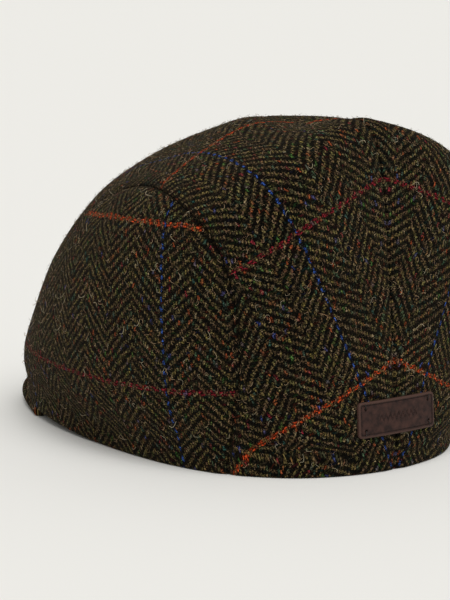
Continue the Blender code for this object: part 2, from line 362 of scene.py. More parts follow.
def soft_relief(points, distance, hem_distance, side):
    """How far the cloth stands off the plain crown: rolled in at its edges, softly dented elsewhere."""
    relief = -rolled(distance) - rolled(hem_distance) - SEAM_DIP * np.exp(-distance / SEAM_SOFT)
    relief += SEAM_PUFF * np.exp(-((distance - 2 * SEAM_SOFT) / SEAM_SOFT) ** 2)
    flat = points.reshape(-1, 3) * (side, 1, 1) / DENT_SIZE
    dents = [noise.noise(Vector(place)) + FINE_DENTS * noise.noise(Vector(place * FINE_DENT_TIMES))
             for place in flat]
    return relief + DENT * np.array(dents).reshape(relief.shape)


def closed_cloth(name, outer, inner, cloth_places, side, material):
    """A panel with an outer and an inner face, joined all round its edge. Side -1 mirrors it."""
    rows, columns = outer.shape[:2]
    number, quads = grid_faces(rows, columns)
    count = rows * columns
    rim = np.concatenate([number[0, :-1], number[:-1, -1], number[-1, :0:-1], number[:0:-1, 0]])
    onward = np.roll(rim, -1)
    edge = np.stack([onward, rim, rim + count, onward + count], -1)
    faces = np.concatenate([quads, quads[:, ::-1] + count, edge])
    facing = np.cross(outer[rows // 2, columns // 2 + 1] - outer[rows // 2, columns // 2],
                      outer[rows // 2 + 1, columns // 2] - outer[rows // 2, columns // 2])
    points = np.concatenate([outer.reshape(-1, 3), inner.reshape(-1, 3)])
    outwards = np.sum(facing * (outer - inner)[rows // 2, columns // 2]) > 0
    if side < 0:
        points = points * (-1, 1, 1)
        outwards = not outwards
    if not outwards:
        faces = faces[:, ::-1]
    mesh = bpy.data.meshes.new(name)
    mesh.from_pydata(points.tolist(), [], faces.tolist())
    places = np.concatenate([cloth_places.reshape(-1, 2)] * 2)
    layer = mesh.uv_layers.new(name="grain")
    corners = np.zeros(len(mesh.loops), dtype=int)
    mesh.loops.foreach_get("vertex_index", corners)
    layer.data.foreach_set("uv", places[corners].ravel())
    mesh.materials.append(material)
    mesh.shade_smooth()
    mesh.set_sharp_from_angle(angle=SHARP_EDGE)
    return set_down(name, mesh)


def mark(piece, name, amount):
    """Stores a value at each point of a closed piece, the same on its outer and its inner face."""
    marks = piece.data.attributes.new(name, "FLOAT", "POINT")
    marks.data.foreach_set("value", np.tile(amount.ravel(), 2))


def paint(red, green, blue):
    """A colour as a paint chart gives it, from 0 to 255, as the shaders take it."""
    return tuple(((part / 255 + 0.055) / 1.055) ** 2.4 if part > 10 else part / 255 / 12.92
                 for part in (red, green, blue)) + (1.0,)


Cloud = namedtuple("Cloud", "scale detail")
SWAY = Cloud(260.0, 3.0)
SWAY_YARNS = 2.6
HAIRY = Cloud(2000.0, 2.0)
HAIRY_YARNS = 1.7
YARN_DYE = Cloud(1.0, 3.0)
DYE_ASIDE = 3.7
DYE_ALONG = 0.33
UNEVEN = Cloud(1500.0, 3.0)
UNEVEN_GAIN = 9.4
UNEVEN_SHIFT = -3.82
UNEVEN_LEAST = 0.05
FIBRES = Cloud(5200.0, 2.0)
FIBRE_BUMP = 0.5
YARN = 0.00105
WEAVE_REPEAT = 4.0
WEAVE_FLOAT = 2.0
YARN_ROUND = 2.4
YARN_ARCH = 0.55
WEFT_LOW = 0.85
SHADE_POWER = 1.5
LEAST_SHADE = 0.03
SEAM_SHADE_DARK = 0.85
FLECK_POWER = 1.6
WARP_FLECKS = 0.72
WEFT_FLECKS = 0.18
STRIPE_WEFT_HIDDEN = 0.84
STRIPE_WARP_HIDDEN = 0.95
COLUMN_ENDS = 14
WINDOW_PICKS = 63
WINDOW_ENDS = 112
STRIPE_PICKS = 2
STRIPE_ENDS = 1
LIGHT_YARN = (
    (0.28, paint(58, 47, 31)), (0.40, paint(98, 82, 52)), (0.48, paint(94, 71, 55)),
    (0.55, paint(110, 95, 55)), (0.64, paint(66, 68, 45)), (0.74, paint(103, 70, 50)),
)
DARK_YARN = (
    (0.30, paint(7, 5, 4)), (0.45, paint(15, 11, 8)), (0.55, paint(10, 12, 10)),
    (0.64, paint(20, 11, 10)), (0.75, paint(9, 9, 14)),
)
FLECKS = (
    (0.00, paint(108, 102, 60)), (0.18, paint(66, 54, 40)), (0.34, paint(40, 78, 60)),
    (0.46, paint(116, 104, 54)), (0.56, paint(76, 60, 44)), (0.66, paint(24, 78, 74)),
    (0.73, paint(138, 122, 92)), (0.80, paint(150, 66, 34)), (0.87, paint(52, 98, 42)),
    (0.93, paint(122, 26, 44)), (0.97, paint(40, 58, 120)),
)
ORANGE_PICK = paint(200, 76, 36)
RED_PICK = paint(128, 32, 42)
BLUE_END = paint(46, 76, 144)
WOOL_SHEEN = paint(204, 182, 144)


def new_material(name, **settings):
    """A material, its nodes and its shader, with the settings that are the same all over it."""
    material = bpy.data.materials.new(name)
    material.use_nodes = True
    shader = material.node_tree.nodes["Principled BSDF"]
    for socket, value in settings.items():
        shader.inputs[socket.replace("_", " ")].default_value = value
    return material, material.node_tree, shader


def joined(tree, node, socket, value):
    """Gives a node's input, by its number or name, another node's output or a plain value."""
    if isinstance(value, bpy.types.NodeSocket):
        tree.links.new(value, node.inputs[socket])
    else:
        node.inputs[socket].default_value = value


def cloudy(tree, place, cloud):
    node = tree.nodes.new("ShaderNodeTexNoise")
    tree.links.new(place, node.inputs["Vector"])
    node.inputs["Scale"].default_value = cloud.scale
    node.inputs["Detail"].default_value = cloud.detail
    return node


def mixed(tree, share, first, second):
    node = tree.nodes.new("ShaderNodeMix")
    node.data_type = "RGBA"
    joined(tree, node, 0, share)
    joined(tree, node, 6, first)
    joined(tree, node, 7, second)
    return node.outputs[2]


def dyed(tree, share, stops, steps=False):
    """The colours of some stops over a value, blended from one to the next or in steps."""
    node = tree.nodes.new("ShaderNodeValToRGB")
    node.color_ramp.interpolation = "CONSTANT" if steps else "LINEAR"
    elements = node.color_ramp.elements
    elements[0].position, elements[0].color = stops[0]
    elements[1].position, elements[1].color = stops[-1]
    for position, colour in stops[1:-1]:
        elements.new(position).color = colour
    tree.links.new(share, node.inputs[0])
    return node.outputs[0]


def marked(tree, name):
    """What mark stored on the piece."""
    node = tree.nodes.new("ShaderNodeAttribute")
    node.attribute_name = name
    return node.outputs["Fac"]


def roughen(tree, shader, height, strength, distance):
    node = tree.nodes.new("ShaderNodeBump")
    node.inputs["Strength"].default_value = strength
    node.inputs["Distance"].default_value = distance
    tree.links.new(height, node.inputs["Height"])
    tree.links.new(node.outputs[0], shader.inputs["Normal"])


def herringbone_tweed():
    """Wool tweed in a two and two herringbone. Paired orange or red picks and single blue ends draw
    large windows on it."""
    cloth, tree, shader = new_material("herringbone_tweed", Roughness=0.95, Specular_IOR_Level=0.05,
                                       Sheen_Weight=0.045, Sheen_Roughness=0.45, Sheen_Tint=WOOL_SHEEN)

    def sums(operation, *values):
        node = tree.nodes.new("ShaderNodeMath")
        node.operation = operation
        for index, value in enumerate(values):
            joined(tree, node, index, value)
        return node.outputs[0]

    def place_of(across, along, third=0.0):
        node = tree.nodes.new("ShaderNodeCombineXYZ")
        for index, value in enumerate((across, along, third)):
            joined(tree, node, index, value)
        return node.outputs[0]

    def channels(colour):
        node = tree.nodes.new("ShaderNodeSeparateColor")
        tree.links.new(colour, node.inputs[0])
        return node.outputs

    laid = tree.nodes.new("ShaderNodeUVMap")
    laid.uv_map = "grain"
    split = tree.nodes.new("ShaderNodeSeparateXYZ")
    tree.links.new(laid.outputs[0], split.inputs[0])
    sway = channels(cloudy(tree, laid.outputs[0], SWAY).outputs["Color"])
    hairy = channels(cloudy(tree, laid.outputs[0], HAIRY).outputs["Color"])

    def yarns_along(axis):
        steady = sums("DIVIDE", split.outputs[axis], YARN)
        swayed = sums("MULTIPLY_ADD", sums("SUBTRACT", sway[axis], 0.5), SWAY_YARNS, steady)
        return sums("MULTIPLY_ADD", sums("SUBTRACT", hairy[axis], 0.5), HAIRY_YARNS, swayed)

    across = yarns_along(0)
    along = yarns_along(1)
    end = sums("FLOOR", across)
    pick = sums("FLOOR", along)
    column = sums("FLOOR", sums("DIVIDE", end, COLUMN_ENDS))
    lean = sums("MULTIPLY_ADD", sums("FLOORED_MODULO", column, 2.0), -2.0, 1.0)
    column_start = sums("MULTIPLY", column, COLUMN_ENDS)
    end_in_column = sums("SUBTRACT", end, column_start)
    across_in_column = sums("SUBTRACT", across, column_start)

    warp_run = sums("MULTIPLY_ADD", lean, end_in_column, along)
    warp_phase = sums("FLOORED_MODULO", warp_run, WEAVE_REPEAT)
    warp_on_top = sums("LESS_THAN", warp_phase, WEAVE_FLOAT)
    lean_step = sums("MULTIPLY_ADD", lean, -0.5, 0.5)
    weft_run = sums("MULTIPLY_ADD", lean, across_in_column, sums("ADD", pick, lean_step))
    weft_phase = sums("SUBTRACT", sums("FLOORED_MODULO", weft_run, WEAVE_REPEAT), WEAVE_FLOAT)

    def rounded(place, phase):
        from_middle = sums("MULTIPLY_ADD", sums("FRACT", place), 2.0, -1.0)
        round_yarn = sums("SUBTRACT", 1.0, sums("POWER", sums("ABSOLUTE", from_middle), YARN_ROUND))
        arched = sums("SINE", sums("MULTIPLY", phase, math.pi / WEAVE_FLOAT))
        return sums("MULTIPLY", round_yarn, sums("MULTIPLY_ADD", arched, YARN_ARCH, 1 - YARN_ARCH))

    def either(warp, weft):
        return sums("MULTIPLY_ADD", sums("SUBTRACT", warp, weft), warp_on_top, weft)

    height = either(rounded(across, warp_phase), sums("MULTIPLY", rounded(along, weft_phase), WEFT_LOW))
    height = sums("MAXIMUM", height, 0.0)

    warp_place = place_of(sums("MULTIPLY", end, DYE_ASIDE), sums("MULTIPLY", along, DYE_ALONG))
    weft_place = place_of(sums("MULTIPLY", across, DYE_ALONG), sums("MULTIPLY", pick, DYE_ASIDE))
    light = dyed(tree, cloudy(tree, warp_place, YARN_DYE).outputs[0], LIGHT_YARN)
    dark = dyed(tree, cloudy(tree, weft_place, YARN_DYE).outputs[0], DARK_YARN)

    def at_window(yarn, spacing, wide):
        return sums("LESS_THAN", sums("FLOORED_MODULO", yarn, spacing), wide)

    fleck_pair = tree.nodes.new("ShaderNodeTexWhiteNoise")
    warp_float = sums("FLOOR", sums("DIVIDE", warp_run, WEAVE_REPEAT))
    weft_float = sums("FLOOR", sums("DIVIDE", weft_run, WEAVE_REPEAT))
    float_name = place_of(either(end, weft_float), either(warp_float, pick), warp_on_top)
    tree.links.new(float_name, fleck_pair.inputs["Vector"])
    fleck_draw = channels(fleck_pair.outputs["Color"])
    fleck = dyed(tree, fleck_draw[1], FLECKS, steps=True)
    strongly = sums("POWER", fleck_draw[2], FLECK_POWER)
    fleck_share = sums("MULTIPLY", strongly, sums("MULTIPLY_ADD", warp_on_top, WARP_FLECKS, WEFT_FLECKS))

    plain = mixed(tree, fleck_share, mixed(tree, warp_on_top, dark, light), fleck)
    window = sums("FLOORED_MODULO", sums("FLOOR", sums("DIVIDE", pick, WINDOW_PICKS)), 2.0)
    picks = mixed(tree, window, ORANGE_PICK, RED_PICK)
    weft_shows = sums("MULTIPLY_ADD", warp_on_top, -STRIPE_WEFT_HIDDEN, 1.0)
    warp_shows = sums("MULTIPLY_ADD", warp_on_top, STRIPE_WARP_HIDDEN, 1.0 - STRIPE_WARP_HIDDEN)
    pick_share = sums("MULTIPLY", weft_shows, at_window(pick, WINDOW_PICKS, STRIPE_PICKS))
    end_share = sums("MULTIPLY", warp_shows, at_window(end, WINDOW_ENDS, STRIPE_ENDS))
    drawn = mixed(tree, end_share, mixed(tree, pick_share, plain, picks), BLUE_END)

    shade = sums("MULTIPLY_ADD", sums("POWER", height, SHADE_POWER), 1 - LEAST_SHADE, LEAST_SHADE)
    uneven = cloudy(tree, laid.outputs[0], UNEVEN).outputs[0]
    uneven = sums("MAXIMUM", sums("MULTIPLY_ADD", uneven, UNEVEN_GAIN, UNEVEN_SHIFT), UNEVEN_LEAST)
    # Painted shade: the cloth is darkened along its seams by the value marked on each point of the piece.
    seam_shade_factor = sums("MULTIPLY_ADD", marked(tree, "painted_seam_shade"), -SEAM_SHADE_DARK, 1.0)
    shaded = tree.nodes.new("ShaderNodeVectorMath")
    shaded.operation = "SCALE"
    tree.links.new(drawn, shaded.inputs[0])
    tree.links.new(sums("MULTIPLY", sums("MULTIPLY", shade, uneven), seam_shade_factor), shaded.inputs["Scale"])
    tree.links.new(shaded.outputs[0], shader.inputs["Base Color"])

    fibres = cloudy(tree, laid.outputs[0], FIBRES).outputs[0]
    roughen(tree, shader, sums("MULTIPLY_ADD", fibres, FIBRE_BUMP, height),
            strength=0.9, distance=0.0004)
    return cloth


TOP_GRAIN_TURN = math.radians(177)
TOP_GRAIN_SHIFT = (0.0440, 0.3572)
TOP_EASE = 0.013
EASE_FADE = 0.06
# Painted shade along the seams: its width, its share at the middle seam and its share at table level.
SEAM_SHADE = 0.0014
MIDDLE_SEAM_SHADE = 0.15
LOW_SEAM_SHADE = 0.25

tweed = herringbone_tweed()
outer_faces = []


def with_hem(solid, direction, cloth_places):
    """The turned hem below a panel's first row: its points, outward directions and cloth places."""
    rows = np.array(HEM_ROWS)[:, None, None]
    down = solid[:1] - rows * (0, 0, HEM_FOLD)
    level_out = unit(unit(direction[:1] * (1, 1, 0)) * rows + direction[:1] * (1 - rows))
    cloth = cloth_places[:1] - rows * HEM_FOLD * unit(cloth_places[1:2] - cloth_places[:1])
    return down, level_out, cloth


def cap_panel(name, node, side, places_of, along, up, flat, grain_turn, shift, ease, hems):
    """One cloth panel of the crown, from its places on the disc to the finished, closed piece. Ease is
    the length of cloth taken up at the corner of the hem and the side seam. Hems is 2 for a top panel,
    with the middle seam along one side, and 1 for a side panel, with the arched seam all round the rest."""
    places = places_of(along, up)
    solid = from_disc(places)
    direction = outward(places)
    cloth_places = grain(flat, along, up, grain_turn, shift)
    cloth_places[..., 1] += ease * np.outer(np.exp(-up / EASE_FADE), along ** 3)
    hem_edges = [solid[0] - (0, 0, HEM_FOLD)]
    stacked = [with_hem(solid, direction, cloth_places), (solid, direction, cloth_places)]
    if hems == 2:
        front = with_hem(solid[::-1], direction[::-1], cloth_places[::-1])
        stacked.append([rows[::-1] for rows in front])
        hem_edges.append(solid[-1] - (0, 0, HEM_FOLD))
    points, directions, cloths = (np.concatenate(rows) for rows in zip(*stacked))
    sewn = [points[:, 0], points[:, -1]] + ([points[-1]] if hems == 1 else [])
    seam_distances = [seam_distance(points, seam) for seam in sewn]
    distance = np.minimum.reduce(seam_distances)
    hem_distance = np.minimum.reduce([seam_distance(points, edge) for edge in hem_edges])
    relief = soft_relief(points, distance, hem_distance, side)
    outer = points + directions * relief[..., None]
    piece = closed_cloth(name, outer, points - directions * CLOTH, cloths, side, tweed)
    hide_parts(node)
    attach(piece, "root")
    # Painted shade along the seams: full along the arched seam, faint along the middle one, and weaker low
    # on the crown.
    seam_shade_depths = (MIDDLE_SEAM_SHADE, 1.0) if hems == 2 else (1.0, 1.0, 1.0)
    painted_seam_shade = np.maximum.reduce([seam_shade_depth * np.exp(-(seam / SEAM_SHADE) ** 2)
                                 for seam_shade_depth, seam in zip(seam_shade_depths, seam_distances)])
    mark(piece, "painted_seam_shade", painted_seam_shade * (LOW_SEAM_SHADE + (1 - LOW_SEAM_SHADE) * points[..., 2] / CROWN_HEIGHT))
    outer_faces.append((outer[::2, ::2] * (side, 1, 1), INSIDE))


flat_top = flatten_cut(top_places)
for side, name in ((1, "left"), (-1, "right")):
    cap_panel("top_half_" + name, "top_panel_" + name, side, top_places,
              crowded(TOP_COLUMNS, 2), np.linspace(0, 1, TOP_ROWS + 1), flat_top,
              TOP_GRAIN_TURN, TOP_GRAIN_SHIFT, TOP_EASE, 2)


# A side panel covers each ear. It is cut with its grain upright and sewn under the arched seam, which
# runs from the back hem up over the ear and down to the front hem.
SIDE_ROWS = 90
SIDE_COLUMNS = 90
SEAM_SHARE = 11 / 36
SIDE_GRAIN_TURN = math.radians(84.5)
SIDE_GRAIN_SHIFT = (-0.0279, 0.0880)


def side_places(along, up):
    """The left side panel on the disc, from the hem up to the arched seam."""
    route = side_seam_route()
    back = at_even_steps(route, up * SEAM_SHARE)
    front = at_even_steps(route, 1 - up * SEAM_SHARE)
    top = at_even_steps(route, SEAM_SHARE + along * (1 - 2 * SEAM_SHARE))
    return fill_between(hem_route(back[0], front[0], along), top, back, front, along, up)


flat_side = flatten_cut(side_places)
for side, name in ((1, "left"), (-1, "right")):
    cap_panel("ear_panel_" + name, "side_panel_" + name, side, side_places,
              crowded(SIDE_COLUMNS, 2), crowded(SIDE_ROWS, 1), flat_side,
              SIDE_GRAIN_TURN, SIDE_GRAIN_SHIFT, 0.0, 1)


# The peak is a board crescent wrapped in the same tweed and stitched up under the front hem, so that
# only its rim stands out. It arches a little: its ends rest on the table and its middle stands off it.
PEAK_SHOW = 0.030
PEAK_TUCK = 0.014
PEAK_THICKNESS = 0.0040
PEAK_ARCH = 0.005
PEAK_CLEARANCE = 0.0004
PEAK_SPREAD = math.radians(54)
PEAK_GRAIN_TURN = math.radians(90)
PEAK_GRAIN_SHIFT = (0.020, 0.030)
PEAK_END = 0.97
PEAK_LONG = 240
PEAK_WIDE = 60
PEAK_BARE = 24
THINNEST = 0.00008


def peak_middle(along, across):
    """The peak's middle layer. Along runs from -1 to 1 between its ends, across from 0 to 1 outwards."""
    end = math.acos(((PEAK_THICKNESS + PEAK_CLEARANCE) / HEM_LIFT) ** (1 / LIFT_POWER))
    width = np.cos(along * math.pi / 2)
    turn = math.pi - end * np.sin(along * math.pi / 2)
    part = np.maximum(0.0, 1 - np.abs(math.pi - turn) / PEAK_SPREAD)
    inner = -2 * CLOTH - PEAK_TUCK * width
    rim = PEAK_SHOW * part ** 2 * (3 - 2 * part)
    run = inner + across * (rim - inner)
    rim_height = PEAK_THICKNESS / 2 + PEAK_ARCH * width ** 2
    under_hem = hem_height(turn) - PEAK_CLEARANCE - PEAK_THICKNESS / 2
    slope = np.maximum(0.0, under_hem - rim_height) / (CLOTH + rim)
    hem = plan_point(turn, section_value("hem_out", turn), 0.0)
    flat_out = unit(hem - (0, HEAD_MIDDLE.y, 0))
    middle = hem + flat_out * run[..., None]
    middle[..., 2] = rim_height + slope * (rim - run)
    edge = np.minimum(run - inner, rim - run)
    near_end = (PEAK_END - np.abs(along)) * end * SIDE_REACH
    return middle, np.minimum(edge, near_end)


def make_peak():
    along = PEAK_END * (1 - 2 * crowded(PEAK_LONG, 2))[None, :]
    across = crowded(PEAK_WIDE, 2)[:, None]
    middle, edge = peak_middle(*np.broadcast_arrays(along, across))
    half = PEAK_THICKNESS / 2
    inside = np.clip(1 - edge / half, 0, 1)
    thick = np.maximum(THINNEST, half * np.sqrt(1 - inside ** 2))[..., None]
    north = np.gradient(middle, axis=0)
    east = np.gradient(middle, axis=1)
    up = unit(np.cross(north, east))
    up = up * np.sign(up[..., 2:])
    cloth = turned(middle, PEAK_GRAIN_TURN, PEAK_GRAIN_SHIFT)
    peak = closed_cloth("tweed_peak", middle + up * thick, middle - up * thick, cloth, 1, tweed)
    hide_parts("peak")
    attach(peak, "root")
    outer_faces.append(((middle + up * thick)[PEAK_BARE::2, ::2], (0, HEAD_MIDDLE.y, 0)))


make_peak()


# The label is a small plate of dark brown leather laid over the foot of the back seam. Its edge stands up
# as a smooth border with a pressed groove inside it, and a hole is punched at each corner for its thread.
LABEL_WIDTH = 0.0395
LABEL_HEIGHT = 0.0143
LABEL_RISE = 0.0222
LABEL_THICKNESS = 0.0014
LABEL_CLEARANCE = 0.0004
LABEL_CORNER = 0.0017
BORDER = 0.0010
BORDER_ROUND = 0.0006
BORDER_FADE = 0.0005
GROOVE = 0.00022
GROOVE_WIDTH = 0.0002
GROOVE_SHADE = 0.6
PANEL_DROP = 0.00016
DROP_WIDTH = 0.0003
HOLE_ASIDE = 0.0034
HOLE_INSET = 0.0029
HOLE_ACROSS = LABEL_WIDTH / 2 - HOLE_ASIDE
HOLE_UP = LABEL_HEIGHT / 2 - HOLE_INSET
HOLE_RADIUS = 0.00075
HOLE_DEPTH = 0.0010
HOLE_FLOOR = 0.4
CORNERS = ((-1, -1), (-1, 1), (1, -1), (1, 1))
CHEVRONS = 9
CHEVRON_PITCH = 0.0022
CHEVRON_RISE = 0.0013
PRESS_WIDTH = 0.00018
PRESS_DEPTH = 0.00050
PRESS_SHADE = 0.75
ROW_FADE = 0.2
LABEL_ROWS = 72
LABEL_COLUMNS = 200
CLOSING_STEPS = 25
MOST_CLIMB = 0.2
SMALL_STEP = 0.01
LEATHER_PATCHES = Cloud(420.0, 4.0)
PORE_SCALE = 1500.0
LEATHER = ((0.30, paint(32, 18, 15)), (0.72, paint(66, 42, 35)))
PALE_BORDER_LEATHER = paint(72, 50, 42)
HOLLOW_SHADE_LEATHER = paint(20, 13, 11)


def crown_near(across, height):
    """Points of the crown's back, and their outward directions, at distances from the seam and heights."""
    turn = np.zeros_like(across)
    level = np.full_like(across, 0.5)
    for _ in range(CLOSING_STEPS):
        point = crown_point(turn, level)
        slope = (crown_point(turn, level + SMALL_STEP)[..., 2] - point[..., 2]) / SMALL_STEP
        turn = turn + (across - point[..., 0]) / SIDE_REACH
        climb = np.clip((height - point[..., 2]) / slope, -MOST_CLIMB, MOST_CLIMB)
        level = np.maximum(0.0, level + climb)
    here = crown_point(turn, level)
    aside = crown_point(turn + SMALL_STEP, level) - here
    facing = unit(np.cross(aside, crown_point(turn, level + SMALL_STEP) - here))
    return here, facing * np.sign(facing[..., 1:2])


def smooth(value, start, end):
    part = np.clip((value - start) / (end - start), 0, 1)
    return part * part * (3 - 2 * part)


def label_relief(across, up):
    """Height of the label's face over its plain thickness, how pale its border is, and how much painted
    shade falls in its groove, holes and pressed chevrons.
    """
    corner_x = np.abs(across) - (LABEL_WIDTH / 2 - LABEL_CORNER)
    corner_y = np.abs(up) - (LABEL_HEIGHT / 2 - LABEL_CORNER)
    outside = np.hypot(np.maximum(corner_x, 0), np.maximum(corner_y, 0))
    inside = LABEL_CORNER - outside - np.minimum(np.maximum(corner_x, corner_y), 0)
    edge = np.clip(1 - inside / BORDER_ROUND, 0, 1)
    relief = -BORDER_ROUND * (1 - np.sqrt(1 - edge ** 2))
    relief = relief - PANEL_DROP * smooth(inside, BORDER, BORDER + DROP_WIDTH)
    grooved = np.exp(-((inside - BORDER - DROP_WIDTH) / GROOVE_WIDTH) ** 2)
    relief = relief - GROOVE * grooved
    # Painted shade in the groove, and below in the holes and the pressed chevrons.
    painted_press_shade = GROOVE_SHADE * grooved
    for side, end in CORNERS:
        hole = np.hypot(across - side * HOLE_ACROSS, up - end * HOLE_UP)
        punched = 1 - smooth(hole, HOLE_FLOOR * HOLE_RADIUS, HOLE_RADIUS)
        relief = relief - HOLE_DEPTH * punched
        painted_press_shade = np.maximum(painted_press_shade, punched)
    zigzag = np.abs((across / CHEVRON_PITCH) % 1.0 * 2 - 1) * 2 - 1
    pressed = np.exp(-((up - zigzag * CHEVRON_RISE) / PRESS_WIDTH / 2) ** 2)
    half_row = CHEVRON_PITCH / 2
    row = 1 - smooth(np.abs(across), (CHEVRONS - ROW_FADE) * half_row, CHEVRONS * half_row)
    relief = relief - PRESS_DEPTH * pressed * row
    # The leather is paler along its raised border.
    pale_border = 1 - smooth(inside, BORDER - BORDER_FADE, BORDER)
    return relief, pale_border, np.maximum(painted_press_shade, PRESS_SHADE * pressed * row)


def grained_leather():
    """Dark brown grained leather, paler along its raised border, with painted shade in its pressed groove,
    holes and chevrons.
    """
    leather, tree, shader = new_material("label_leather", Roughness=0.62, Specular_IOR_Level=0.22)
    place = tree.nodes.new("ShaderNodeTexCoord").outputs["Object"]
    patches = dyed(tree, cloudy(tree, place, LEATHER_PATCHES).outputs[0], LEATHER)
    bordered = mixed(tree, marked(tree, "pale_border"), patches, PALE_BORDER_LEATHER)
    # Painted shade darkens the groove, the holes and the pressed chevrons.
    shaded_hollows = mixed(tree, marked(tree, "painted_press_shade"), bordered, HOLLOW_SHADE_LEATHER)
    tree.links.new(shaded_hollows, shader.inputs["Base Color"])
    pores = tree.nodes.new("ShaderNodeTexVoronoi")
    pores.feature = "DISTANCE_TO_EDGE"
    pores.inputs["Scale"].default_value = PORE_SCALE
    tree.links.new(place, pores.inputs["Vector"])
    roughen(tree, shader, pores.outputs["Distance"], strength=0.55, distance=0.00015)
    return leather


def make_label():
    up = (crowded(LABEL_ROWS, 2) - 0.5)[:, None] * LABEL_HEIGHT
    beyond = np.maximum(0.0, np.abs(up) - (LABEL_HEIGHT / 2 - LABEL_CORNER))
    half_width = LABEL_WIDTH / 2 - LABEL_CORNER + np.sqrt(np.maximum(0.0, LABEL_CORNER ** 2 - beyond ** 2))
    across = (crowded(LABEL_COLUMNS, 2)[None, :] * 2 - 1) * half_width
    up = np.broadcast_to(up, across.shape)
    base, facing = crown_near(across, LABEL_RISE + up)
    relief, pale_border, painted_press_shade = label_relief(across, up)
    outer = base + facing * (LABEL_CLEARANCE + LABEL_THICKNESS + relief)[..., None]
    inner = base + facing * LABEL_CLEARANCE
    flat = np.stack([across, up], axis=-1)
    label = closed_cloth("leather_label", outer, inner, flat, 1, grained_leather())
    mark(label, "pale_border", pale_border)
    mark(label, "painted_press_shade", painted_press_shade)
    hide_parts("back_label")
    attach(label, "root")


make_label()


# Four short dark threads hold the label. Each comes up through the hole at one corner, lies over the
# leather's edge and goes down beside it to the cloth.
THREAD = 0.00018
THREAD_SIDES = 8
THREAD_STEPS = 18
THREAD_ASLANT = 0.0006
THREAD_START = 0.16
THREAD_BULGE = 0.35
THREAD_SLACK = 0.6
THREAD_TWIST = Cloud(2500.0, 2.0)
THREAD_STRANDS = ((0.0, paint(16, 13, 11)), (1.0, paint(48, 38, 32)))


def thread_material():
    dark, tree, shader = new_material("label_thread", Roughness=0.8)
    place = tree.nodes.new("ShaderNodeTexCoord").outputs["Object"]
    strands = dyed(tree, cloudy(tree, place, THREAD_TWIST).outputs[0], THREAD_STRANDS)
    tree.links.new(strands, shader.inputs["Base Color"])
    return dark


def face_out(piece):
    """Turns every closed shell of a piece so that its faces look outward."""
    shell = bmesh.new()
    shell.from_mesh(piece.data)
    bmesh.ops.recalc_face_normals(shell, faces=shell.faces)
    shell.to_mesh(piece.data)
    shell.free()


def stitch_threads():
    points = []
    faces = []
    part = np.linspace(0, 1, THREAD_STEPS)
    angle = np.linspace(0, 2 * math.pi, THREAD_SIDES, endpoint=False)[:, None]
    for side, end in CORNERS:
        across = side * (HOLE_ACROSS + part * THREAD_ASLANT)
        up = end * (HOLE_UP + part * (HOLE_INSET + THREAD))
        base, facing = crown_near(across, LABEL_RISE + up)
        over = np.clip(THREAD_START + part * (1 - THREAD_START), 0, 1)
        lift = np.maximum(0.0, LABEL_THICKNESS * np.sin(over * math.pi) ** THREAD_BULGE)
        lift = lift + LABEL_CLEARANCE + THREAD_SLACK * THREAD * np.sin(part * math.pi)
        route = base + facing * lift[:, None]
        run = unit(np.gradient(route, axis=0))
        aside = unit(np.cross(run, facing))
        upward = np.cross(aside, run)
        first = sum(len(ring) for ring in points)
        for step in range(THREAD_STEPS):
            around = np.cos(angle) * aside[step] + np.sin(angle) * upward[step]
            points.append(route[step] + THREAD * around)
        for low in range(first, first + (THREAD_STEPS - 1) * THREAD_SIDES, THREAD_SIDES):
            for corner in range(THREAD_SIDES):
                onward = (corner + 1) % THREAD_SIDES
                faces.append((low + corner, low + onward,
                              low + THREAD_SIDES + onward, low + THREAD_SIDES + corner))
        last = first + (THREAD_STEPS - 1) * THREAD_SIDES
        faces.append(tuple(first + corner for corner in range(THREAD_SIDES - 1, -1, -1)))
        faces.append(tuple(last + corner for corner in range(THREAD_SIDES)))
    mesh = bpy.data.meshes.new("label_threads")
    mesh.from_pydata(np.concatenate(points).tolist(), [], faces)
    mesh.materials.append(thread_material())
    mesh.shade_smooth()
    threads = set_down("label_threads", mesh)
    face_out(threads)
    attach(threads, "root")


stitch_threads()


# Wool never lies quite flat: fine loose hairs stand off all the cloth, with shorter, thicker brown ones
# among them, and here and there a longer, paler one. They are fibres of the yarn, caught in the weave.
HAIR_SEED = 7
HAIR_FLOOR = 0.003
HAIR_BENDS = 4
HAIR_SIDES = 3
LEAST_LEAN = math.radians(58)
MOST_LEAN = math.radians(88)
LEAST_GROWN = 0.45
MOST_GROWN = 1.3
HAIR_PATCHES = Cloud(160.0, 3.0)
HairSet = namedtuple("HairSet", "name per_area radius length bend seed colours")
HAIR_SETS = (
    HairSet("fine_wool_hairs", 70000.0, 0.000035, 0.0019, 0.0009, HAIR_SEED,
            ((0.30, paint(66, 54, 42)), (0.5, paint(104, 90, 66)), (0.7, paint(70, 66, 50)))),
    HairSet("brown_wool_hairs", 46000.0, 0.00007, 0.0015, 0.0009, HAIR_SEED + 2,
            ((0.30, paint(66, 44, 38)), (0.5, paint(164, 140, 108)), (0.7, paint(104, 62, 50)))),
    HairSet("pale_wool_hairs", 6500.0, 0.000065, 0.0028, 0.0020, HAIR_SEED + 1,
            ((0.30, paint(124, 114, 90)), (0.5, paint(186, 176, 148)), (0.7, paint(158, 122, 88)))),
)


def hair_material(name, colours):
    """Wool fibre whose colour changes from place to place."""
    fibre, tree, shader = new_material(name, Roughness=0.7, Specular_IOR_Level=0.2)
    place = tree.nodes.new("ShaderNodeTexCoord").outputs["Object"]
    dye = dyed(tree, cloudy(tree, place, HAIR_PATCHES).outputs[0], colours)
    tree.links.new(dye, shader.inputs["Base Color"])
    return fibre


